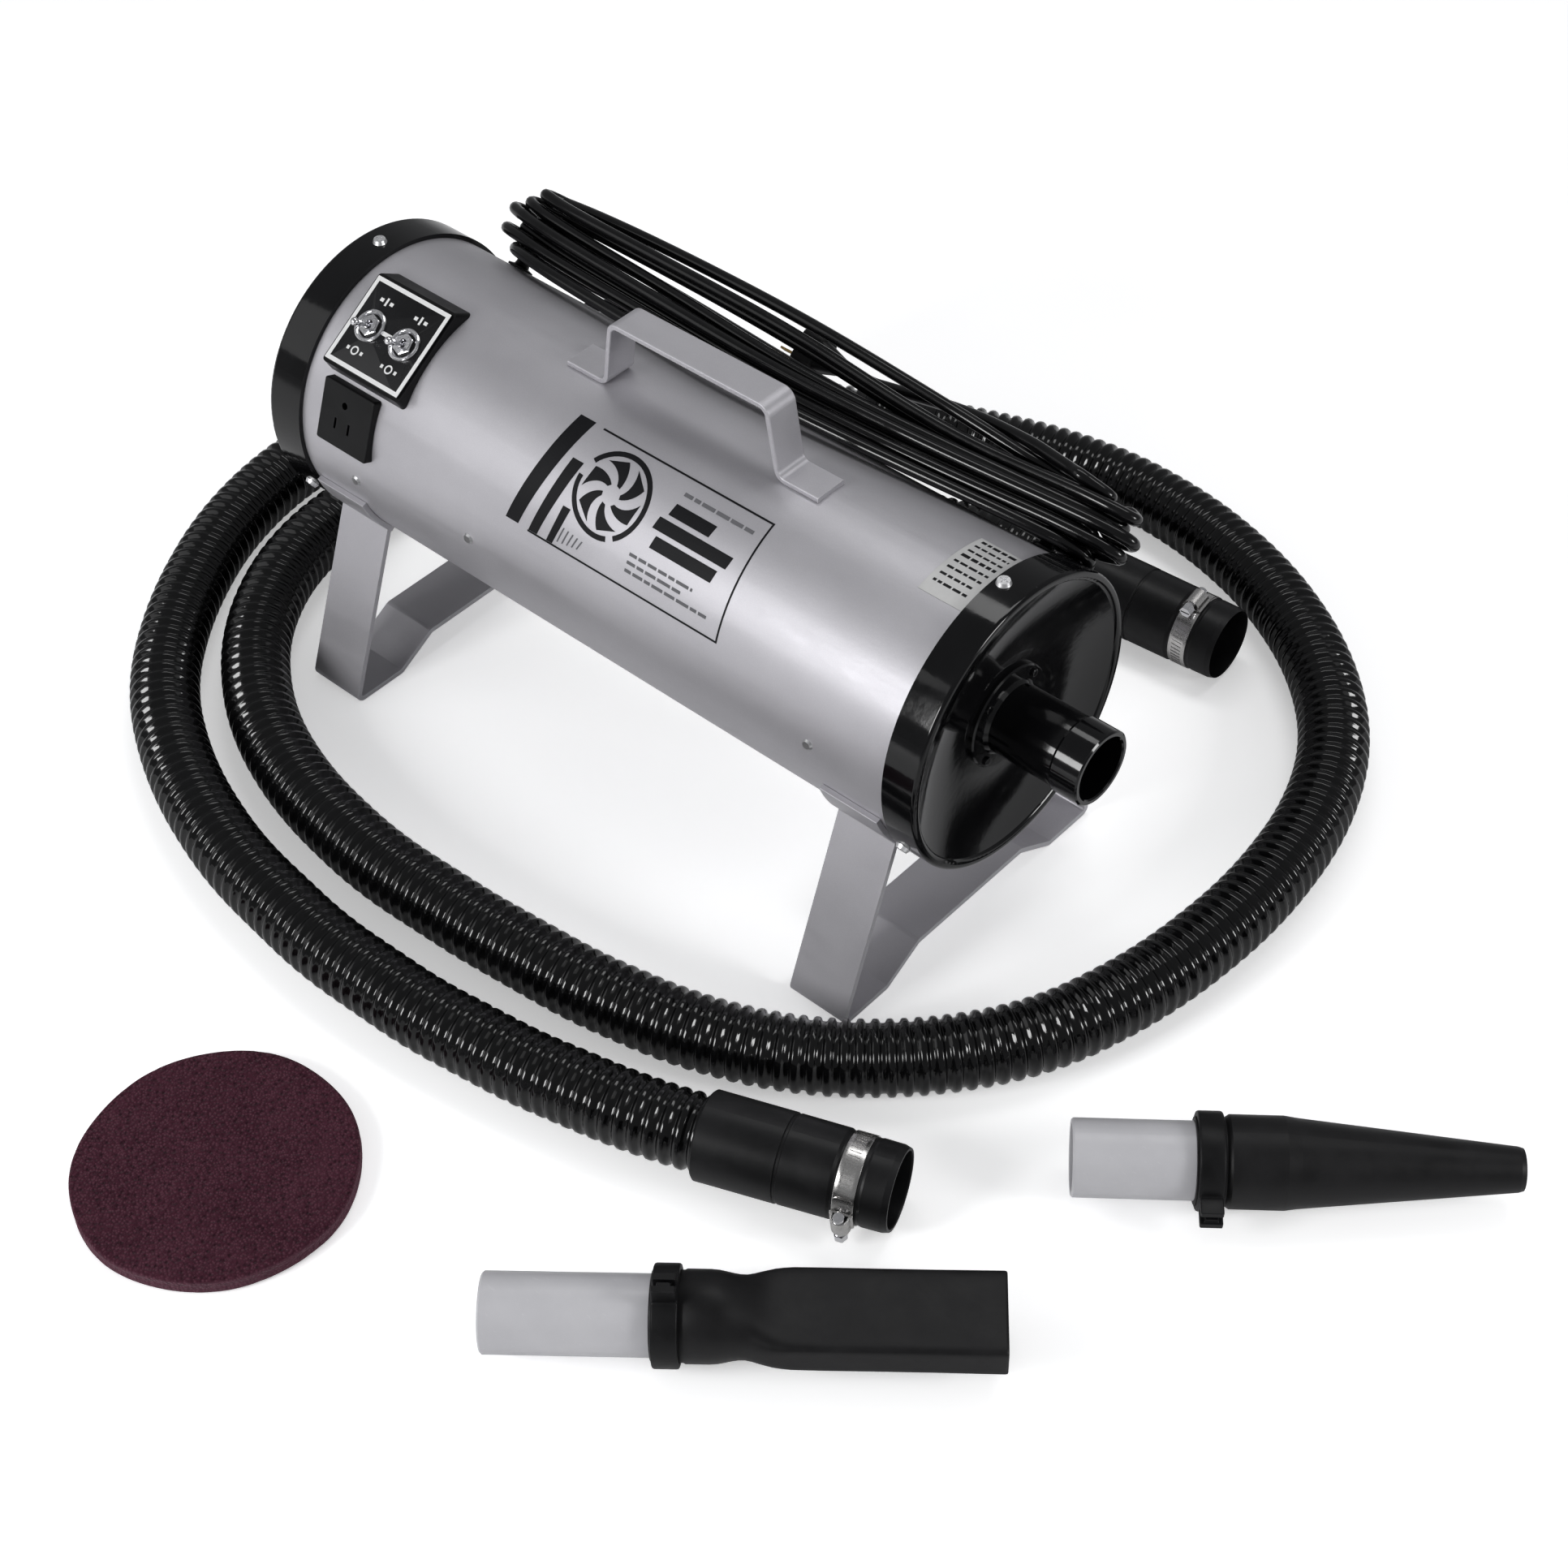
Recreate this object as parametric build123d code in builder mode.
from build123d import *
import math
import os

# Pet dryer: a forced-air blower in a painted steel tube on two strap legs, with
# its ribbed hose, two nozzles and a spare foam filter laid out around it.
# Millimetres.  The tube's axis runs along +X towards the outlet, +Z is up and
# the floor is z = 0.  "Front" is the outlet end, "rear" the intake end.
# Angles round the tube run from +Y towards +Z.

# ---- row origin: where the layout's bounding-box centre sits on the floor ----
ROW_X = 366.347
ROW_Y = -65.672

# ---- body tube ----
AXIS_Z = 200.0            # height of the tube's axis above the floor
TUBE_R = 100.0            # outside radius
TUBE_WALL = 1.5
TUBE_X0, TUBE_X1 = -27.0, 546.0
SEAT_R = TUBE_R + 0.03    # underside of anything fixed on the tube
LINER_R = TUBE_R - TUBE_WALL - 0.2  # outside of anything fitted in the tube

# ---- end caps ----
CAP_R = 103.3
CAP_SKIRT_R = TUBE_R + 0.15  # inside of a cap's skirt
CAP_LIP_R = 98.2          # bore of the cap inside the tube's end
CAP_SKIN = 2.5
CAP_ROUND = 2.6           # rounding of the outer rim
REAR_X0, REAR_X1 = -30.8, 0.0
REAR_FACE_X = -25.0       # outside of the rear face
REAR_RIM_R = CAP_R - 7.4
FRONT_X0, FRONT_X1 = 526.0, 551.5
FRONT_FACE_X = 538.5      # middle of the front face, dished back from its rim
DISH_MID_X, DISH_MID_R = 541.28, 71.31
DISH_R = 45.0             # radius of the face's flat middle
CAP_SCREW_X = {"rear": -14.0, "front": 532.6}
CAP_SCREW_ANGLES = (90, 210, 330)
SCREW_R = 2.0
SCREW_HOLE_R = SCREW_R + 0.1
GRILLE_HOLE_R, GRILLE_PITCH, GRILLE_RINGS = 4.5, 13.5, 6

# ---- outlet spout ----
NECK_R = 24.2
COLLAR_R = 25.75
SPOUT_BORE_R = 21.5
SPOUT_X1 = 613.0
FLANGE_R, FLANGE_T = 36.0, 3.6
SPOUT_SCREW_RING = (31.0, 4, 45)  # radius, count, first angle
SPOUT_HOLE_R = 1.6

# ---- body rivets ----
BULKHEAD_X = 150.0
BULKHEAD_RIVET_X = BULKHEAD_X + 14
HEATER_BAND_X = 464.0
RIVET_ANGLES = (0, 180, 270)
RIVET_R, RIVET_HOLE_R = 2.0, 2.05
RIVETS = [(x, a) for x in (BULKHEAD_RIVET_X, HEATER_BAND_X) for a in RIVET_ANGLES] + [(51, 186)]

# ---- carrying handle ----
STRAP_T = 4.0             # thickness of the handle's and the legs' straps
HANDLE_W = 25.0
HANDLE_FOOT_X = (180.0, 397.0)
HANDLE_LEG_X = (214.0, 363.0)
HANDLE_TOP_X = (222.0, 355.0)
HANDLE_TOP = 152.8        # above the tube's axis
HANDLE_BEND_R = 7.0

# ---- legs ----
LEG_W = 47.0
LEG_X = {"rear_leg": 4.0, "front_leg": 471.0}
LEG_FOOT_Y = 129.0
LEG_PAD_Y = 86.0
LEG_STEP_Y = 54.0
LEG_BRIDGE_Z = 20.0
LEG_BEND_R = 4.0
LEG_TOP_ANGLE = 42        # where the strap meets the tube, below the horizontal
LEG_TOP_OVERRUN = (1.6, 1.9)
LEG_TAB_ANGLES = (19.5, 31.0, 43.2)

# ---- switch panel and receptacle ----
SWITCH_X, SWITCH_ANGLE = 54.0, 123.0
SWITCH_OPENING = (66, 44)
PLATE_D = 104.0           # distance of the plate's back from the tube's axis
PLATE_T = 1.5
PLATE_SIZE = (72.0, 67.0)
TOGGLE_PITCH = 33.2
TOGGLE_X = {"left": -TOGGLE_PITCH / 2, "right": TOGGLE_PITCH / 2}
TOGGLE_SPOTS = [(dx, 0) for dx in TOGGLE_X.values()]
TOGGLE_R = 6.0            # threaded bushing
TOGGLE_HOLE_R = 6.1
NUT_BORE_R = 6.03
TOGGLE_TILT = 15.0        # lever angle from the plate's normal
KNOB_R, KNOB_AT = 3.0, 18.0
SOCKET_X, SOCKET_ANGLE = 46.0, 158.8
SOCKET_OPENING = (42, 30)

# ---- cord and its two posts ----
CORD_R = 4.2
CORD_HOLE_R = CORD_R + 0.05
CORD_X, CORD_ANGLE = 75.0, 15.0  # where the cord enters the tube
CORD_BEND_R = 12.74
POST_ANGLE = 40.0
POST_X = (40.0, 505.0)
POST_R = 5.0
POST_HEAD_R = 9.0
TURN_T = 12.5             # half the width of one turn of the cord
CORD_LOW = 108.2          # radius of the lowest strand
TURN_RISE = 4.4           # rise of each strand over the one before
# x of the turns; the first and last rear values are the bundle's two loose ends
FRONT_TURNS = (548, 556, 541, 560, 545, 552, 537)
REAR_TURNS = (215, 22, 16, 26, 18, 24, 15, 440)
PLUG_X, PLUG_T, PLUG_D = 290.0, -37.0, 146.0

# ---- filter, motor and fan ----
FILTER_R, FILTER_T = 91.0, 12.0
FAN_R = 72.5
SHELL_X0, SHELL_X1 = 158.0, 215.0
FAN_CLAMP_RING = (82.0, 3, 60)
IMPELLER_X = (163.0, 189.0)
IMPELLER_R = 64.0
SHAFT_R = 4.0
SHAFT_HOLE_R = SHAFT_R + 0.02
BEARING_X, BEARING_R, BEARING_W = (217.5, 308.5), 11.0, 7.0
MOTOR_BOLT_AT = 50.0      # distance of each bolt from the axis
MOTOR_BOLT_R, MOTOR_BOLT_HOLE_R = 2.5, 2.55
BRACKET_X = SHELL_X1 + 0.05
END_BRACKET_X, END_BRACKET_T = 306.0, 4.0
CORE_X, CORE_LEN = 236.0, 42.0   # stator and armature laminations
STATOR_R, STATOR_BORE_R = 46.0, 38.0
COMMUTATOR_X, COMMUTATOR_LEN = 287.0, 16.0
BRUSH_X = COMMUTATOR_X + COMMUTATOR_LEN / 2

# ---- heater ----
HEATER_MID_X = 406.0
HEATER_COIL_LEN = 80.0
CROSSBAR_X = 461.0
LEAD_D = 84.0             # distance of the lead wires from the axis
LEAD_R = 1.6

# ---- hose, cuffs and clamps ----
HOSE_R, HOSE_BORE_R = 25.0, 19.5
HOSE_BEND_R = 400.0       # rounded() cuts this down to what each corner allows
HOSE_Z, CUFF_Z = 25.2, 29.6
CUFF_R = 29.0
CUFF_LEN = 126.0
CUFF_A_BORE_R = 24.35     # takes a nozzle's 48.3 mm pipe
CUFF_B_BORE_R = 25.9      # goes over the outlet spout's collar
BAND_R0, BAND_R1 = 27.3, 28.2
BAND_S = (91.5, 105.5)
CLAMP_ROLL = (100.0, 8.0)  # where each screw housing sits round its cuff, from the top
CLAMP_SCREW_R = 3.5
CUFF_A_AT, CUFF_A_TURN = (526.0, -268.0), 21.5
CUFF_B_AT, CUFF_B_TURN = (383.0, 296.0), 4.0

# ---- nozzles and spare filter ----
PIPE_R, PIPE_BORE_R = 24.15, 20.9
PIPE_SEAT_R = 23.9        # turned down where the rubber nozzle goes over the pipe
NOZZLE_BORE_R = PIPE_SEAT_R + 0.05
NOZZLE_R = 26.6           # outside of the sleeve over the pipe
NOZZLE_Z = 31.2
CONE_AT, CONE_TURN = (706.0, -136.0), 39.0
FLAT_AT, FLAT_TURN = (517.0, -449.0), 39.8
SPARE_AT = (302.0, -473.0)

AXIS = Axis((0, 0, AXIS_Z), (1, 0, 0))
CENTRE = ((0, 0),)
os.makedirs("parts", exist_ok=True)


# =============================== helpers ===============================
# A sketch made inside a helper doesn't join the caller's part by itself, so each
# helper passes its own sketch to the operation.
def polar(x, r, angle):
    """A point at x along the tube, at radius r and an angle from +Y towards +Z."""
    turned = math.radians(angle)
    return (x, r * math.cos(turned), AXIS_Z + r * math.sin(turned))


def section_point(r, angle):
    """The (y, z) of polar(), for sketches on planes parallel to YZ."""
    return polar(0, r, angle)[1:]


def facing(x, r, angle):
    """A plane on the tube looking outwards: local x along the tube."""
    normal = (0, math.cos(math.radians(angle)), math.sin(math.radians(angle)))
    return Plane(origin=polar(x, r, angle), x_dir=(1, 0, 0), z_dir=normal)


def across(x, r=0, angle=0):
    """A plane across the tube, looking along +X: local x along +Y."""
    return Plane(origin=polar(x, r, angle), x_dir=(0, 1, 0), z_dir=(1, 0, 0))


def lengthways(axis):
    """A plane through an axis, with local (x, y) as (x, radius)."""
    return Plane(origin=axis.position, x_dir=(1, 0, 0), z_dir=(0, -1, 0))


def spin(points, mode=Mode.ADD, axis=AXIS):
    """Turns a closed (x, radius) outline about an axis along +X."""
    with BuildSketch(lengthways(axis)) as outline:
        with BuildLine():
            Polyline(*points, close=True)
        make_face()
    revolve(outline.sketch, axis=axis, mode=mode)


def sleeve(x0, x1, inner, outer, mode=Mode.ADD, axis=AXIS):
    """A plain ring from x0 to x1; a solid disc where inner is 0."""
    spin([(x0, inner), (x0, outer), (x1, outer), (x1, inner)], mode, axis)


def clear_tube(x0, x1):
    """Cuts away all that lies inside the tube's outer surface."""
    sleeve(x0, x1, 0, SEAT_R, Mode.SUBTRACT)


def rod(plane, radius, length, taper=0.0, spots=CENTRE, mode=Mode.ADD):
    """Round bars, or holes, standing on a plane."""
    with BuildSketch(plane) as outline:
        with Locations(*spots):
            Circle(radius)
    extrude(outline.sketch, amount=length, taper=taper, mode=mode)


def hole(plane, radius, depth, spots=CENTRE):
    rod(plane, radius, depth, spots=spots, mode=Mode.SUBTRACT)


def rod_ring(x, radius, length, circle, mode=Mode.ADD):
    """Bars along +X from x, on a circle (radius, count, first angle) about the axis."""
    with BuildSketch(across(x)) as outline:
        with PolarLocations(*circle):
            Circle(radius)
    extrude(outline.sketch, amount=length, mode=mode)


def block(plane, size, length, corner=0, spots=CENTRE, mode=Mode.ADD):
    """Rectangular bars, or pockets, standing on a plane."""
    with BuildSketch(plane) as outline:
        with Locations(*spots):
            if corner:
                RectangleRounded(*size, corner)
            else:
                Rectangle(*size)
    extrude(outline.sketch, amount=length, mode=mode)


def rounded(points, radius):
    """Lines (2 points) and tangent arcs (3 points), in turn, along a 3-D polyline."""
    points = [Vector(*point) for point in points]
    pieces, reached = [], points[0]
    for before, corner, after in zip(points, points[1:], points[2:]):
        back = (before - corner).normalized()
        ahead = (after - corner).normalized()
        half = math.radians(back.get_angle(ahead) / 2)
        # keep each arc to its own half of the sides it joins
        limit = 0.4995 * min((before - corner).length, (after - corner).length)
        reach = min(limit, radius / math.tan(half))
        arc_r = reach * math.tan(half)
        start, end = corner + back * reach, corner + ahead * reach
        middle = corner + (back + ahead).normalized() * (arc_r / math.sin(half) - arc_r)
        pieces += [(reached, start), (start, middle, end)]
        reached = end
    return pieces + [(reached, points[-1])]


def draw(pieces):
    """Draws rounded() pieces in the current line builder."""
    for piece in pieces:
        if len(piece) == 3:
            ThreePointArc(*piece)
        else:
            Line(*piece)


def pipe(points, bend_radius, outer, inner=0.0):
    """A round bar or tube along a rounded 3-D polyline."""
    with BuildLine() as route:
        draw(rounded(points, bend_radius))
    path = route.wire()
    with BuildSketch(Plane(origin=path @ 0, z_dir=path % 0)) as section:
        Circle(outer)
        if inner:
            Circle(inner, mode=Mode.SUBTRACT)
    sweep(section.sketch, path=path)


def strap(points, bend_radius, thickness):
    """A bent strap's side outline from its 2-D centre line, as a face."""
    pieces = rounded([(*point, 0) for point in points], bend_radius)
    sides = []
    for offset in (thickness / 2, -thickness / 2):
        side = []
        for piece in pieces:
            chord = (piece[-1] - piece[0]).normalized()
            shift = Vector(-chord.Y, chord.X, 0) * offset
            side.append([point + shift for point in piece])
        # every second piece is an arc: its ends are those of the lines beside it
        for i in range(1, len(side), 2):
            side[i][0] = side[i - 1][-1]
            side[i][-1] = side[i + 1][0]
        sides.append(side)
    left, right = sides
    with BuildSketch() as region:
        with BuildLine():
            draw(left)
            Line(left[-1][-1], right[-1][-1])
            draw(right)
            Line(right[0][0], left[0][0])
        make_face()
    return region.sketch


def draw_sector(angles, inner, outer):
    """Draws a strip that follows the tube, through (first, middle, last) angles."""
    ThreePointArc(*[section_point(inner, a) for a in angles])
    Line(section_point(inner, angles[-1]), section_point(outer, angles[-1]))
    ThreePointArc(*[section_point(outer, a) for a in reversed(angles)])
    Line(section_point(outer, angles[0]), section_point(inner, angles[0]))


def save(builder, name, place=Location()):
    """Labels a part, puts it in the row's frame and writes its STEP."""
    part = builder.part.moved(place).moved(Location((-ROW_X, -ROW_Y, 0)))
    part.label = name
    export_step(part, f"parts/{name}.step")


def at_switch(distance, dx=0):
    return facing(SWITCH_X + dx, distance, SWITCH_ANGLE)


def at_socket(distance):
    return facing(SOCKET_X, distance, SOCKET_ANGLE)


def at_cord(distance):
    return facing(CORD_X, distance, CORD_ANGLE)


# =============================== body ===============================
with BuildPart() as body_tube:
    sleeve(TUBE_X0, TUBE_X1, TUBE_R - TUBE_WALL, TUBE_R)
    # openings behind the switch box and the receptacle
    block(at_switch(60), SWITCH_OPENING, 60, corner=3, mode=Mode.SUBTRACT)
    block(at_socket(60), SOCKET_OPENING, 60, corner=3, mode=Mode.SUBTRACT)
    # cord entry
    hole(at_cord(60), 7.6, 60)
    for x in CAP_SCREW_X.values():
        for a in CAP_SCREW_ANGLES:
            hole(facing(x, 90, a), SCREW_HOLE_R, 20)
    for x, a in RIVETS:
        hole(facing(x, 90, a), RIVET_HOLE_R, 20)
save(body_tube, "body_tube")

with BuildPart() as front_cap:
    # skirt, rounded rim, then a face dished back to a flat middle
    back_x = FRONT_FACE_X - CAP_SKIN
    hole_r = NECK_R - 1.7
    with BuildSketch(lengthways(AXIS)):
        with BuildLine():
            Polyline((FRONT_X0, CAP_SKIRT_R), (FRONT_X0, CAP_R), (FRONT_X1 - CAP_ROUND, CAP_R))
            ThreePointArc(
                (FRONT_X1 - CAP_ROUND, CAP_R),
                (FRONT_X1 - 0.76, CAP_R - 0.76),
                (FRONT_X1, CAP_R - CAP_ROUND),
            )
            Line((FRONT_X1, CAP_R - CAP_ROUND), (FRONT_X1, 99.2))
            ThreePointArc((FRONT_X1, 99.2), (FRONT_X1 - 0.7, 97.5), (FRONT_X1 - 2.2, 96.2))
            ThreePointArc(
                (FRONT_X1 - 2.2, 96.2), (DISH_MID_X, DISH_MID_R), (FRONT_FACE_X, DISH_R)
            )
            Polyline(
                (FRONT_FACE_X, DISH_R), (FRONT_FACE_X, hole_r), (back_x, hole_r), (back_x, DISH_R)
            )
            ThreePointArc(
                (back_x, DISH_R), (DISH_MID_X - CAP_SKIN, DISH_MID_R), (FRONT_X1 - 4.6, 96.3)
            )
            Polyline(
                (FRONT_X1 - 4.6, 96.3), (FRONT_X1 - 3, CAP_LIP_R),
                (FRONT_X1 - 3, CAP_SKIRT_R), (FRONT_X0, CAP_SKIRT_R),
            )
        make_face()
    revolve(axis=AXIS)
    for a in CAP_SCREW_ANGLES:
        hole(facing(CAP_SCREW_X["front"], 99, a), SCREW_HOLE_R, 10)
    # screw holes for the spout's flange
    rod_ring(back_x - 1, SPOUT_HOLE_R, CAP_SKIN + 2, SPOUT_SCREW_RING, Mode.SUBTRACT)
save(front_cap, "front_cap")

with BuildPart() as outlet_spout:
    spin([
        (FRONT_FACE_X + 0.05, SPOUT_BORE_R), (FRONT_FACE_X + 0.05, FLANGE_R),
        (FRONT_FACE_X + FLANGE_T - 1, FLANGE_R), (FRONT_FACE_X + FLANGE_T, FLANGE_R - 1),
        (FRONT_FACE_X + FLANGE_T, NECK_R + 2), (FRONT_FACE_X + 6, NECK_R),
        (SPOUT_X1 - 22, NECK_R), (SPOUT_X1 - 20, COLLAR_R), (SPOUT_X1 - 1, COLLAR_R),
        (SPOUT_X1, COLLAR_R - 1.2), (SPOUT_X1, SPOUT_BORE_R + 0.8), (SPOUT_X1 - 1, SPOUT_BORE_R),
    ])
    rod_ring(FRONT_FACE_X - 1, SPOUT_HOLE_R, 8, SPOUT_SCREW_RING, Mode.SUBTRACT)
save(outlet_spout, "outlet_spout")

with BuildPart() as spout_screws:
    # domed heads, then shanks
    rod_ring(FRONT_FACE_X + FLANGE_T + 0.05, 2.9, 1.8, SPOUT_SCREW_RING)
    fillet(spout_screws.edges().group_by(Axis.X)[-1], 0.9)
    rod_ring(FRONT_FACE_X - 7, 1.5, 10.7, SPOUT_SCREW_RING)
save(spout_screws, "spout_screws")

with BuildPart() as rear_cap:
    spin([
        (REAR_X1, CAP_SKIRT_R), (REAR_X1, CAP_R), (REAR_X0, CAP_R), (REAR_X0, REAR_RIM_R),
        (REAR_FACE_X, REAR_RIM_R), (REAR_FACE_X, 0), (REAR_FACE_X + CAP_SKIN, 0),
        (REAR_FACE_X + CAP_SKIN, CAP_LIP_R), (-28.0, CAP_LIP_R), (-28.0, CAP_SKIRT_R),
    ])
    fillet(rear_cap.edges().filter_by(GeomType.CIRCLE).group_by(Axis.X)[0], CAP_ROUND)
    for a in CAP_SCREW_ANGLES:
        hole(facing(CAP_SCREW_X["rear"], 99, a), SCREW_HOLE_R, 10)
    # intake grille
    with BuildSketch(across(REAR_FACE_X - 1)):
        Circle(GRILLE_HOLE_R)
        for ring in range(1, GRILLE_RINGS + 1):
            with PolarLocations(GRILLE_PITCH * ring, 6 * ring, 3 * ring):
                Circle(GRILLE_HOLE_R)
    extrude(amount=5, mode=Mode.SUBTRACT)
save(rear_cap, "rear_cap")

with BuildPart() as cap_screws:
    shank_end = 96.3
    for x in CAP_SCREW_X.values():
        for a in CAP_SCREW_ANGLES:
            rod(facing(x, shank_end, a), SCREW_R, CAP_R - shank_end + 0.2)
            rod(facing(x, CAP_R + 0.1, a), 5.1, 2.6, taper=22)
            # cross recess
            with BuildSketch(facing(x, CAP_R + 1.7, a)):
                Rectangle(6.0, 1.0)
                Rectangle(1.0, 6.0)
            extrude(amount=2, mode=Mode.SUBTRACT)
save(cap_screws, "cap_screws")

with BuildPart() as body_rivets:
    shank_end = 95.5
    for x, a in RIVETS:
        rod(facing(x, shank_end, a), RIVET_R, TUBE_R - shank_end + 0.1)
        rod(facing(x, SEAT_R, a), 4.0, 1.5, taper=35)
save(body_rivets, "body_rivets")

# =============================== handle and legs ===============================
with BuildPart() as handle:
    foot_z = AXIS_Z + TUBE_R - 0.8 + STRAP_T / 2
    top_z = AXIS_Z + HANDLE_TOP - STRAP_T / 2
    handle_line = [
        (HANDLE_FOOT_X[0], foot_z), (HANDLE_LEG_X[0], foot_z), (HANDLE_TOP_X[0], top_z),
        (HANDLE_TOP_X[1], top_z), (HANDLE_LEG_X[1], foot_z), (HANDLE_FOOT_X[1], foot_z),
    ]
    with BuildSketch(Plane.XZ.offset(-HANDLE_W / 2)) as handle_side:
        add(strap(handle_line, HANDLE_BEND_R, STRAP_T))
    extrude(handle_side.sketch, amount=HANDLE_W)
    # soften the side edges, except low down at the feet
    fillet(
        handle.edges().filter_by(
            lambda e: abs(e.center().Y) > HANDLE_W / 2 - 0.01 and e.center().Z > AXIS_Z + 104
        ),
        1.0,
    )
    clear_tube(150, 430)
save(handle, "handle")

leg_top_y, leg_top_z = section_point(TUBE_R + STRAP_T / 2, -LEG_TOP_ANGLE)
half_leg = [
    (-leg_top_y - LEG_TOP_OVERRUN[0], leg_top_z + LEG_TOP_OVERRUN[1]),
    (-LEG_FOOT_Y, STRAP_T / 2), (-LEG_PAD_Y, STRAP_T / 2), (-LEG_STEP_Y, LEG_BRIDGE_Z),
]
leg_line = half_leg + [(-y, z) for y, z in reversed(half_leg)]
leg_tabs = ([-a for a in LEG_TAB_ANGLES], [180 + a for a in LEG_TAB_ANGLES])
for leg_name, leg_x in LEG_X.items():
    with BuildPart() as leg:
        with BuildSketch(Plane.YZ.offset(leg_x)) as leg_side:
            add(strap(leg_line, LEG_BEND_R, STRAP_T))
            # tabs that follow the tube, where the strap is welded on
            for tab_angles in leg_tabs:
                with BuildLine():
                    draw_sector(tab_angles, SEAT_R, TUBE_R + STRAP_T)
                make_face()
        extrude(leg_side.sketch, amount=LEG_W)
        clear_tube(leg_x - 5, leg_x + LEG_W + 5)
    save(leg, leg_name)

# =============================== switches and receptacle ===============================
with BuildPart() as switch_box:
    with BuildSketch(at_switch(86)):
        with Locations((0, 4)):
            RectangleRounded(76, 82, 4)
    with BuildSketch(at_switch(PLATE_D)):
        RectangleRounded(75, 71, 3)
    loft()
    clear_tube(-5, 120)
    # room for the switch bodies, then holes for their bushings
    block(at_switch(80), (64, 42), PLATE_D - 82, corner=2, mode=Mode.SUBTRACT)
    hole(at_switch(90), TOGGLE_HOLE_R, 20, spots=TOGGLE_SPOTS)
save(switch_box, "switch_box")

with BuildPart() as switch_plate:
    with BuildSketch(at_switch(PLATE_D + 0.02)):
        RectangleRounded(*PLATE_SIZE, 2)
        with Locations(*TOGGLE_SPOTS):
            Circle(TOGGLE_HOLE_R, mode=Mode.SUBTRACT)
    extrude(amount=PLATE_T)
save(switch_plate, "switch_plate")

with BuildPart() as toggle_bodies:
    for dx in TOGGLE_X.values():
        block(at_switch(80, dx), (18, 30), PLATE_D - 80 - 2.1, corner=1.5)
        rod(at_switch(PLATE_D - 2.2, dx), TOGGLE_R, 7.2)
        # lever's seat and bore
        hole(at_switch(PLATE_D - 5, dx), 3.3, 12)
        # three terminal blades under the body
        block(at_switch(74, dx), (6, 1), 6.1, spots=((0, 10), (0, 0), (0, -10)))
save(toggle_bodies, "toggle_bodies")

with BuildPart() as toggle_nuts:
    for dx in TOGGLE_X.values():
        # round washer, then hexagonal nut
        with BuildSketch(at_switch(PLATE_D + PLATE_T + 0.05, dx)):
            Circle(12.2)
            Circle(NUT_BORE_R, mode=Mode.SUBTRACT)
        extrude(amount=1.2)
        with BuildSketch(at_switch(PLATE_D + PLATE_T + 1.2, dx)):
            RegularPolygon(9.6, 6)
            Circle(NUT_BORE_R, mode=Mode.SUBTRACT)
        extrude(amount=2.0)
save(toggle_nuts, "toggle_nuts")

lever_dir = facing(0, 0, SWITCH_ANGLE + TOGGLE_TILT).z_dir
for tag, dx in TOGGLE_X.items():
    with BuildPart() as toggle_lever:
        pivot = at_switch(PLATE_D, dx).origin
        stem_plane = Plane(origin=pivot, x_dir=(1, 0, 0), z_dir=lever_dir)
        with Locations(pivot):
            Sphere(3.22)
        rod(stem_plane, 1.5, 9)
        with BuildSketch(stem_plane.offset(8)):
            Circle(1.55)
        with BuildSketch(stem_plane.offset(KNOB_AT)):
            Circle(KNOB_R)
        loft()
        with Locations(stem_plane.offset(KNOB_AT).origin):
            Sphere(KNOB_R)
    save(toggle_lever, f"toggle_lever_{tag}")

with BuildPart() as receptacle:
    block(at_socket(92), (49, 45), 12.5, corner=2)
    outwards = Axis(polar(0, 0, 0), at_socket(0).z_dir)
    fillet(receptacle.faces().sort_by(outwards)[-1].edges(), 1.2)
    clear_tube(0, 110)
    # inner body through the tube's wall, then a round and two flat openings
    block(at_socket(76), (40, 28), 25, corner=2)
    hole(at_socket(84), 2.6, 30, spots=((-2, 9),))
    block(at_socket(84), (2.0, 8.0), 30, spots=((-8.5, -6), (4.5, -6)), mode=Mode.SUBTRACT)
save(receptacle, "receptacle")

# =============================== power cord ===============================
def bundle_point(x, t, r):
    """A point in the cord bundle: t across the posts, r out from the tube's axis."""
    a = math.radians(POST_ANGLE)
    return (
        x,
        r * math.cos(a) - t * math.sin(a),
        AXIS_Z + r * math.sin(a) + t * math.cos(a),
    )


strands = []
for k, front_x in enumerate(FRONT_TURNS):
    out_r = CORD_LOW + TURN_RISE * (2 * k)
    back_r = CORD_LOW + TURN_RISE * (2 * k + 1)
    strands += [
        bundle_point(REAR_TURNS[k], -TURN_T, out_r),
        bundle_point(front_x, -TURN_T, out_r),
        bundle_point(front_x, TURN_T, back_r),
        bundle_point(REAR_TURNS[k + 1], TURN_T, back_r),
    ]
# the loose end passes over the bundle and down its far side, to the plug
cord_points = [
    polar(CORD_X, 84, CORD_ANGLE),
    polar(CORD_X, 132, CORD_ANGLE),
    bundle_point(150, -30, 110.0),
    *strands,
    bundle_point(405, 2, 181.0),
    bundle_point(370, -34, 174.0),
    bundle_point(PLUG_X + 50, PLUG_T, PLUG_D),
    bundle_point(PLUG_X - 7, PLUG_T, PLUG_D),
]
with BuildPart() as power_cord:
    pipe(cord_points, CORD_BEND_R, CORD_R)
save(power_cord, "power_cord")

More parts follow.
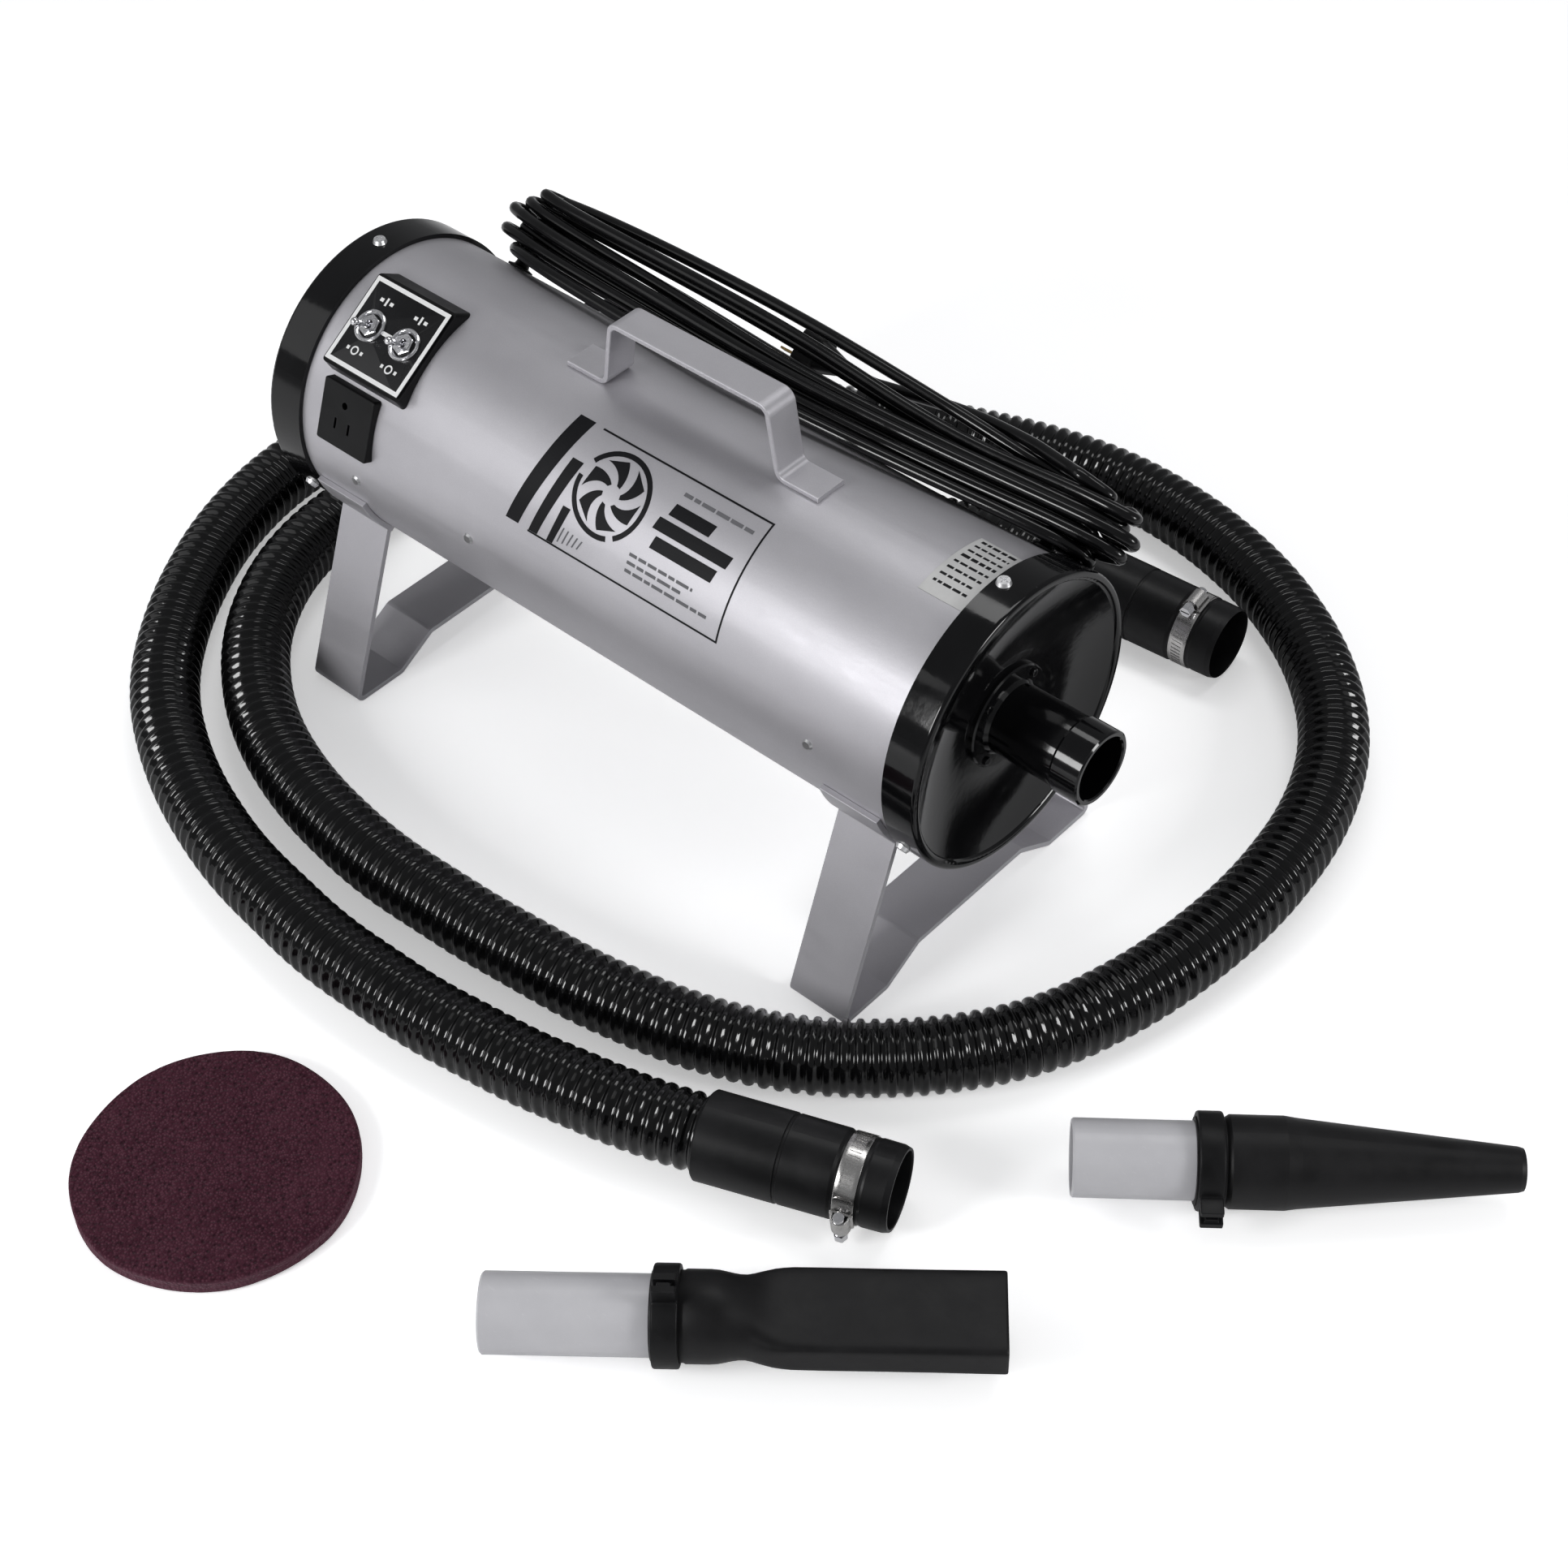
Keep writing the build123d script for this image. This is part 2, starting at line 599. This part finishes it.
with BuildPart() as strain_relief:
    rod(at_cord(95), 7.4, 6)
    rod(at_cord(100.6), 11, 3.5)
    with BuildSketch(at_cord(104)):
        Circle(8.5)
    with BuildSketch(at_cord(113.5)):
        Circle(5.8)
    loft()
    hole(at_cord(90), CORD_HOLE_R, 40)
save(strain_relief, "strain_relief")

with BuildPart() as cord_posts:
    for post_x in POST_X:
        block(facing(post_x, 95, POST_ANGLE), (26, 26), 5.7, corner=4)
    clear_tube(-10, 560)
    for post_x in POST_X:
        rod(facing(post_x, 100.2, POST_ANGLE), POST_R, 79.8)
        rod(facing(post_x, 178, POST_ANGLE), POST_HEAD_R, 3)
    circles = cord_posts.edges().filter_by(GeomType.CIRCLE)
    fillet(circles.filter_by(lambda e: abs(e.radius - POST_HEAD_R) < 0.1), 1.2)
save(cord_posts, "cord_posts")

# the plug points back along -X
plug_plane = Plane(
    origin=bundle_point(PLUG_X, PLUG_T, PLUG_D),
    x_dir=(0, -math.sin(math.radians(POST_ANGLE)), math.cos(math.radians(POST_ANGLE))),
    z_dir=(-1, 0, 0),
)
with BuildPart() as plug_body:
    with BuildSketch(plug_plane):
        Circle(5.6)
    with BuildSketch(plug_plane.offset(20)):
        RectangleRounded(18, 22, 5)
    loft()
    block(plug_plane.offset(20), (22, 26), 16, corner=5)
    hole(plug_plane.offset(-1), CORD_HOLE_R, 14)
save(plug_body, "plug_body")

with BuildPart() as plug_prongs:
    block(plug_plane.offset(36.05), (6.3, 1.5), 17, spots=((-3, 6.35), (-3, -6.35)))
    rod(plug_plane.offset(36.05), 2.4, 17, spots=((7, 0),))
save(plug_prongs, "plug_prongs")

with BuildPart() as rating_label:
    with BuildSketch(Plane.YZ.offset(491)):
        with BuildLine():
            draw_sector((72, 90, 107), SEAT_R, TUBE_R + 0.3)
        make_face()
    extrude(amount=33.5)
save(rating_label, "rating_label")

# =============================== filter behind the grille ===============================
with BuildPart() as intake_filter:
    sleeve(-21.0, -21.0 + FILTER_T, 0, FILTER_R)
save(intake_filter, "intake_filter")

with BuildPart() as filter_retainer:
    # outer ring and cross, then a small ring round the open middle
    with BuildSketch(across(-8.5)):
        Circle(LINER_R)
        Circle(84, mode=Mode.SUBTRACT)
        Rectangle(190, 7)
        Rectangle(7, 190)
        Circle(30)
        Circle(23, mode=Mode.SUBTRACT)
    extrude(amount=2)
save(filter_retainer, "filter_retainer")

# =============================== motor and fan ===============================
with BuildPart() as bulkhead:
    # disc with a rolled flange towards the front
    spin([
        (BULKHEAD_X, 38), (BULKHEAD_X, LINER_R), (BULKHEAD_X + 24, LINER_R),
        (BULKHEAD_X + 24, LINER_R - 2), (BULKHEAD_X + 2, LINER_R - 2), (BULKHEAD_X + 2, 38),
    ])
    for a in RIVET_ANGLES:
        hole(facing(BULKHEAD_RIVET_X, 90, a), RIVET_HOLE_R, 20)
    # lead wires pass through here
    hole(across(BULKHEAD_X - 5, LEAD_D, SWITCH_ANGLE), 8, 12)
    rod_ring(BULKHEAD_X - 5, 2.6, 12, FAN_CLAMP_RING, Mode.SUBTRACT)
save(bulkhead, "bulkhead")

with BuildPart() as motor_gasket:
    sleeve(BULKHEAD_X + 2.05, SHELL_X0 - 0.1, 46, 70)
save(motor_gasket, "motor_gasket")

with BuildPart() as fan_shell:
    spin([
        (SHELL_X0, 24), (SHELL_X0, FAN_R), (SHELL_X1, FAN_R), (SHELL_X1, FAN_R - 1.5),
        (SHELL_X0 + 1.5, FAN_R - 1.5), (SHELL_X0 + 1.5, 24),
    ])
    rear_circles = fan_shell.edges().filter_by(GeomType.CIRCLE).group_by(Axis.X)[0]
    fillet(rear_circles.sort_by(lambda e: e.radius)[-1], 4)
save(fan_shell, "fan_shell")

with BuildPart() as fan_clamps:
    # L-shaped clamps, then the bolts through the bulkhead
    for a in (60, 180, 300):
        block(facing(159, FAN_R + 0.1, a), (14, 14), 3)
        block(facing(153.5, FAN_R + 0.1, a), (2.8, 14), 17)
    rod_ring(BULKHEAD_X - 4, 2.5, 8, FAN_CLAMP_RING)
save(fan_clamps, "fan_clamps")

# blade outline as (radius, angle): out along one side, back along the other
BLADES = 7
BLADE_OUTLINE = ((23, 0), (43, -22), (63.5, -34), (63.5, -32.6), (43.3, -20), (23, 3.6))
with BuildPart() as impellers:
    for x0 in IMPELLER_X:
        # shroud, back plate and hub
        sleeve(x0, x0 + 1.2, 22, IMPELLER_R)
        sleeve(x0 + 13, x0 + 14.2, SHAFT_HOLE_R, IMPELLER_R)
        sleeve(x0 + 2, x0 + 13.1, SHAFT_HOLE_R, 9)
        for k in range(BLADES):
            blade = [section_point(r, 360 / BLADES * k + lag) for r, lag in BLADE_OUTLINE]
            with BuildSketch(Plane.YZ.offset(x0 + 1.1)):
                with BuildLine():
                    ThreePointArc(*blade[:3])
                    Line(blade[2], blade[3])
                    ThreePointArc(*blade[3:])
                    Line(blade[5], blade[0])
                make_face()
            extrude(amount=12.0)
save(impellers, "impellers")

with BuildPart() as diffuser:
    sleeve(181, 185, 22, FAN_R - 1.6)
    rod_ring(180, 2.4, 6, (67.5, 18), Mode.SUBTRACT)
save(diffuser, "diffuser")

with BuildPart() as motor_bracket:
    # disc over the fan shell's open end, with the rear bearing's housing
    spin([
        (BRACKET_X, BEARING_R + 0.1), (BRACKET_X, FAN_R), (218.5, FAN_R),
        (218.5, 15), (226, 15), (226, BEARING_R + 0.1),
    ])
    rod_ring(213, 8, 8, (60.5, 10, 18), Mode.SUBTRACT)
    rod_ring(213, MOTOR_BOLT_HOLE_R, 8, (MOTOR_BOLT_AT, 2, 0), Mode.SUBTRACT)
save(motor_bracket, "motor_bracket")

with BuildPart() as motor_end_bracket:
    with BuildSketch(across(END_BRACKET_X)):
        SlotOverall(118, 30)
        Circle(BEARING_R + 0.05, mode=Mode.SUBTRACT)
        with PolarLocations(MOTOR_BOLT_AT, 2, 0):
            Circle(MOTOR_BOLT_HOLE_R, mode=Mode.SUBTRACT)
    extrude(amount=END_BRACKET_T)
    sleeve(END_BRACKET_X + END_BRACKET_T - 0.1, 316, BEARING_R + 0.05, 15)
    # brush boxes on its inner face
    for side in (-1, 1):
        with BuildSketch(Plane.XZ.offset(-side * 26)):
            with Locations((296.9, AXIS_Z)):
                Rectangle(18.4, 11)
            with Locations((BRUSH_X, AXIS_Z)):
                Rectangle(10.2, 6.2, mode=Mode.SUBTRACT)
        extrude(amount=10, both=True)
save(motor_end_bracket, "motor_end_bracket")

with BuildPart() as bearings:
    for x0 in BEARING_X:
        sleeve(x0, x0 + BEARING_W, SHAFT_R + 0.05, BEARING_R)
save(bearings, "bearings")

with BuildPart() as motor_bolts:
    for a in (180, 0):
        rod(across(212, MOTOR_BOLT_AT, a), MOTOR_BOLT_R, 102)
        with BuildSketch(across(END_BRACKET_X + END_BRACKET_T + 0.05, MOTOR_BOLT_AT, a)):
            RegularPolygon(4.6, 6)
        extrude(amount=3.5)
save(motor_bolts, "motor_bolts")

with BuildPart() as stator_core:
    # ring with a pole above and below the armature
    with BuildSketch(across(CORE_X)):
        Circle(STATOR_R)
        Circle(STATOR_BORE_R, mode=Mode.SUBTRACT)
        with PolarLocations(33.6, 2, 90):
            Rectangle(10, 34)
        Circle(28.6, mode=Mode.SUBTRACT)
    extrude(amount=CORE_LEN)
save(stator_core, "stator_core")

with BuildPart() as field_coils:
    # a rectangular loop round each pole
    for side, height in ((-1, 6.0), (1, 4.4)):
        with BuildSketch(Plane.XY.offset(AXIS_Z + side * 32.3 - 3.2)):
            with Locations((CORE_X + CORE_LEN / 2, 0)):
                RectangleRounded(58, 50, 7)
                Rectangle(42.2, 34.2, mode=Mode.SUBTRACT)
        extrude(amount=height)
    # clear the armature, then the stator ring
    sleeve(220, 295, 0, 28.9, Mode.SUBTRACT)
    sleeve(CORE_X, CORE_X + CORE_LEN, STATOR_BORE_R - 0.1, 60, Mode.SUBTRACT)
save(field_coils, "field_coils")

with BuildPart() as armature_core:
    with BuildSketch(across(CORE_X)):
        Circle(28.0)
        Circle(SHAFT_HOLE_R, mode=Mode.SUBTRACT)
        with PolarLocations(23.5, 12):
            Rectangle(9.2, 3.0, mode=Mode.SUBTRACT)
    extrude(amount=CORE_LEN)
save(armature_core, "armature_core")

with BuildPart() as armature_windings:
    for x0 in (228.5, 278.2):
        sleeve(x0, x0 + 7.3, 6.5, 24)
    circles = armature_windings.edges().filter_by(GeomType.CIRCLE)
    fillet(circles.filter_by(lambda e: e.radius > 20), 2.0)
save(armature_windings, "armature_windings")

with BuildPart() as commutator:
    with BuildSketch(across(COMMUTATOR_X)):
        Circle(13)
        Circle(SHAFT_HOLE_R, mode=Mode.SUBTRACT)
        with PolarLocations(12.4, 24):
            Rectangle(2.4, 0.6, mode=Mode.SUBTRACT)
    extrude(amount=COMMUTATOR_LEN)
save(commutator, "commutator")

with BuildPart() as motor_shaft:
    spin([(160.5, 0), (160.5, SHAFT_R - 0.6), (161.2, SHAFT_R), (318, SHAFT_R), (318, 0)])
save(motor_shaft, "motor_shaft")

with BuildPart() as carbon_brushes:
    for side in (-1, 1):
        with BuildSketch(Plane.XZ.offset(-side * 22.3)):
            with Locations((BRUSH_X, AXIS_Z)):
                Rectangle(10, 6)
        extrude(amount=9, both=True)
save(carbon_brushes, "carbon_brushes")

# =============================== heater ===============================
with BuildPart() as heater_frame:
    # two crossed sheets, each with a crossbar; the coil runs round their long edges
    for plane in (lengthways(AXIS), Plane.XY.offset(AXIS_Z)):
        with BuildSketch(plane):
            with Locations((HEATER_MID_X, 0)):
                Rectangle(92.5, 117.0)
            with Locations((CROSSBAR_X, 0)):
                Rectangle(18, 188)
        extrude(amount=1.0, both=True)
save(heater_frame, "heater_frame")

with BuildPart() as heater_coil:
    with BuildLine() as coil_path:
        Helix(
            pitch=11.4,
            height=HEATER_COIL_LEN,
            radius=60.2,
            center=(HEATER_MID_X - HEATER_COIL_LEN / 2, 0, AXIS_Z),
            direction=(1, 0, 0),
        )
    with BuildSketch(Plane(origin=coil_path.line @ 0, z_dir=coil_path.line % 0)) as coil_wire:
        Circle(1.2)
    sweep(coil_wire.sketch, path=coil_path.line, is_frenet=True)
save(heater_coil, "heater_coil")

with BuildPart() as heater_band:
    sleeve(HEATER_BAND_X - 12, HEATER_BAND_X + 12, 96.9, LINER_R)
    # pads at the crossbars' ends; the top one has no rivet
    for a in (0, 90, 180, 270):
        block(facing(HEATER_BAND_X, 94.2, a), (16, 10), 3.2)
        if a in RIVET_ANGLES:
            hole(facing(HEATER_BAND_X, 88, a), RIVET_HOLE_R, 20)
save(heater_band, "heater_band")

with BuildPart() as thermal_cutout:
    cutout_origin = (CROSSBAR_X, 1.05, AXIS_Z + 72)
    rod(Plane(origin=cutout_origin, x_dir=(1, 0, 0), z_dir=(0, 1, 0)), 8, 7)
save(thermal_cutout, "thermal_cutout")

with BuildPart() as lead_wires:
    for shift in (-3.0, 3.0):
        # x and distance from the axis: along the tube, then down to the heater in steps
        lead_route = [
            (88, LEAD_D + shift), (300, LEAD_D + shift), (300, 60 + shift),
            (340 + shift, 60 + shift), (340 + shift, 40),
        ]
        pipe([polar(x, r, SWITCH_ANGLE) for x, r in lead_route], 8.0, LEAD_R)
save(lead_wires, "lead_wires")

# =============================== hose set ===============================
CUFF_A = Location((*CUFF_A_AT, CUFF_Z), (0, 0, CUFF_A_TURN))
CUFF_B = Location((*CUFF_B_AT, CUFF_Z), (0, 0, CUFF_B_TURN))


def along(start, angle, distance, z):
    """A point at a height z, a distance from start at an angle on the floor."""
    turned = math.radians(angle)
    return (start[0] + distance * math.cos(turned), start[1] + distance * math.sin(turned), z)


# the hose's centre line on the floor, as (x, y), from cuff A to cuff B
HOSE_RUN = [
    (402, -301), (320, -313), (228, -316), (124, -304), (36, -277), (-47, -229), (-106, -160),
    (-148, -85), (-168, -9), (-166, 66), (-138, 140), (-88, 202), (-20, 254), (60, 300),
    (140, 342), (210, 374), (275, 398), (338, 409), (410, 405), (490, 382), (565, 338),
    (622, 278), (654, 204), (666, 113), (658, 16), (633, -67), (590, -128), (530, -180),
    (461, -212), (382, -229), (292, -238), (199, -242), (108, -230), (28, -200), (-38, -148),
    (-78, -86), (-94, -22), (-90, 44), (-62, 108), (-8, 168), (64, 216), (150, 252),
]
hose_points = [
    along(CUFF_A_AT, CUFF_A_TURN, 38, CUFF_Z),
    along(CUFF_A_AT, CUFF_A_TURN, -42, CUFF_Z),
    *[(x, y, HOSE_Z) for x, y in HOSE_RUN],
    along(CUFF_B_AT, CUFF_B_TURN + 8, -150, HOSE_Z),
    along(CUFF_B_AT, CUFF_B_TURN, -44, CUFF_Z),
    along(CUFF_B_AT, CUFF_B_TURN, 38, CUFF_Z),
]
with BuildPart() as hose:
    pipe(hose_points, HOSE_BEND_R, HOSE_R, HOSE_BORE_R)
save(hose, "hose")

for tag, bore, place in (("a", CUFF_A_BORE_R, CUFF_A), ("b", CUFF_B_BORE_R, CUFF_B)):
    with BuildPart() as hose_cuff:
        # outside from the hose end to the mouth, with a groove and the clamp's
        # seat, then back along the bore
        spin([
            (0, HOSE_R + 0.1), (0, CUFF_R - 1.2), (1.2, CUFF_R), (53, CUFF_R - 0.2),
            (53.6, CUFF_R - 1.2), (55.2, CUFF_R - 1.2), (55.8, CUFF_R - 0.4),
            (88, CUFF_R - 0.6), (90, BAND_R0 - 0.05), (107.5, BAND_R0 - 0.05),
            (109, BAND_R0 + 0.4), (122, BAND_R0 + 0.2), (CUFF_LEN, BAND_R0 - 1.0),
            (CUFF_LEN, bore + 0.2), (CUFF_LEN - 1, bore), (62, bore),
            (60, HOSE_R - 3.2), (40.5, HOSE_R - 3.2), (40.5, HOSE_R + 0.1),
        ], axis=Axis.X)
    save(hose_cuff, f"hose_cuff_{tag}", place)

# worm-drive clamps: band with its screw housing on top, and the screw
band_mid = sum(BAND_S) / 2
screw_plane = Plane(
    origin=(band_mid, 9.5, BAND_R1 + 4.6),
    x_dir=(1, 0, 0),
    z_dir=(0, -1, 0),
)
with BuildPart() as clamp_band:
    sleeve(*BAND_S, BAND_R0, BAND_R1, axis=Axis.X)
    # housing on top of the band, screw bore across it
    block(Plane.XY.offset(BAND_R1 - 0.6), (15.5, 15), 9.6, corner=2, spots=((band_mid, 0),))
    hole(screw_plane.offset(-0.5), CLAMP_SCREW_R + 0.1, 20)
    # the band's free end, lying over the rest of it
    block(Plane.XY.offset(BAND_R1 - 2.4), (12, 8), 3.2, spots=((band_mid, 11),))
    hole(Plane.YZ.offset(BAND_S[0] - 1), BAND_R0, 18)

with BuildPart() as clamp_screw:
    rod(screw_plane, CLAMP_SCREW_R, 19)
    # slotted hexagonal head
    with BuildSketch(screw_plane.offset(18.9)):
        RegularPolygon(4.6, 6)
    extrude(amount=6)
    block(screw_plane.offset(23), (7, 1.2), 3, mode=Mode.SUBTRACT)

ROLL_A = CUFF_A * Location((0, 0, 0), (CLAMP_ROLL[0], 0, 0))
ROLL_B = CUFF_B * Location((0, 0, 0), (CLAMP_ROLL[1], 0, 0))
with BuildPart() as clamp_bands:
    add(clamp_band.part.moved(ROLL_A))
    add(clamp_band.part.moved(ROLL_B))
save(clamp_bands, "clamp_bands")
save(clamp_screw, "clamp_screw_a", ROLL_A)
save(clamp_screw, "clamp_screw_b", ROLL_B)

# =============================== nozzles ===============================
CONE = Location((*CONE_AT, NOZZLE_Z), (0, 0, CONE_TURN))
FLAT = Location((*FLAT_AT, NOZZLE_Z), (0, 0, FLAT_TURN))
# name, length, start of the turned-down seat, place
NOZZLE_PIPES = (
    ("cone_nozzle_pipe", 108.0, 73.7, CONE),
    ("flat_nozzle_pipe", 134.0, 98.7, FLAT),
)
for pipe_name, length, seat, place in NOZZLE_PIPES:
    with BuildPart() as nozzle_pipe:
        spin([
            (0, PIPE_BORE_R + 0.5), (0.5, PIPE_BORE_R), (length, PIPE_BORE_R),
            (length, PIPE_SEAT_R), (seat, PIPE_SEAT_R), (seat, PIPE_R),
            (1.2, PIPE_R), (0, PIPE_R - 1.0),
        ], axis=Axis.X)
    save(nozzle_pipe, pipe_name, place)

with BuildPart() as cone_nozzle:
    spin([
        (74, NOZZLE_BORE_R), (74, NOZZLE_R), (92, NOZZLE_R), (95, 28.6), (128, 28.6),
        (136, 27.4), (268, 13.9), (271, 13.0), (271, 10.5), (136, 20.5),
        (110, PIPE_BORE_R), (108.3, PIPE_BORE_R), (108.3, NOZZLE_BORE_R),
    ], axis=Axis.X)
save(cone_nozzle, "cone_nozzle", CONE)

# rounded rectangles across the flat nozzle: width, height, corner radius
SHOULDER = (56, 25, 9)
BLADE = (59, 24, 3)
SLOT = (52, 17, 3)
with BuildPart() as flat_nozzle:
    spin([
        (99, 0), (99, NOZZLE_R), (118, NOZZLE_R), (120, 27.2), (134, 27.2),
        (140, 26.2), (140, 0),
    ], axis=Axis.X)
    # round to flat, then the long flat blade
    with BuildSketch(Plane.YZ.offset(140)):
        Circle(26.2)
    with BuildSketch(Plane.YZ.offset(166)):
        RectangleRounded(*SHOULDER)
    loft()
    with BuildSketch(Plane.YZ.offset(166)):
        RectangleRounded(*SHOULDER)
    with BuildSketch(Plane.YZ.offset(178)):
        RectangleRounded(*BLADE)
    loft()
    block(Plane.YZ.offset(178), BLADE[:2], 127, corner=BLADE[2])
    # pipe seat, then the duct narrowing to a slot
    hole(Plane.YZ.offset(98), NOZZLE_BORE_R, 36.2)
    with BuildSketch(Plane.YZ.offset(134)):
        RectangleRounded(40, 30, 12)
    with BuildSketch(Plane.YZ.offset(180)):
        RectangleRounded(*SLOT)
    loft(mode=Mode.SUBTRACT)
    block(Plane.YZ.offset(179.9), SLOT[:2], 130, corner=SLOT[2], mode=Mode.SUBTRACT)
save(flat_nozzle, "flat_nozzle", FLAT)

# name, start along the nozzle, place, roll of the jaws from the top
SNAP_CLAMPS = (("snap_clamp_cone", 75.0, CONE, 95), ("snap_clamp_flat", 100.0, FLAT, 8))
for clamp_name, start, place, roll in SNAP_CLAMPS:
    with BuildPart() as snap_clamp:
        spin([
            (start, 26.7), (start, 29.6), (start + 1, 30.4), (start + 15, 30.4),
            (start + 16, 29.6), (start + 16, 26.7),
        ], axis=Axis.X)
        # the jaws that latch past each other
        with BuildSketch(Plane.YZ.offset(start + 1)):
            with Locations((-4.4, 35)):
                Rectangle(4.2, 16)
            with Locations((4.4, 34)):
                Rectangle(4.2, 14)
            with Locations((0, 31)):
                Rectangle(9, 4)
        extrude(amount=14)
        # their teeth
        with BuildSketch(Plane.YZ.offset(start + 4)):
            with Locations((-1.6, 40)):
                Rectangle(4.0, 3.2)
            with Locations((1.8, 36.4)):
                Rectangle(2.6, 2.6)
        extrude(amount=8)
    save(snap_clamp, clamp_name, place * Location((0, 0, 0), (roll, 0, 0)))

with BuildPart() as spare_filter:
    rod(Plane.XY.offset(0.2), FILTER_R, FILTER_T, spots=(SPARE_AT,))
    fillet(spare_filter.edges(), 1.5)
save(spare_filter, "spare_filter")
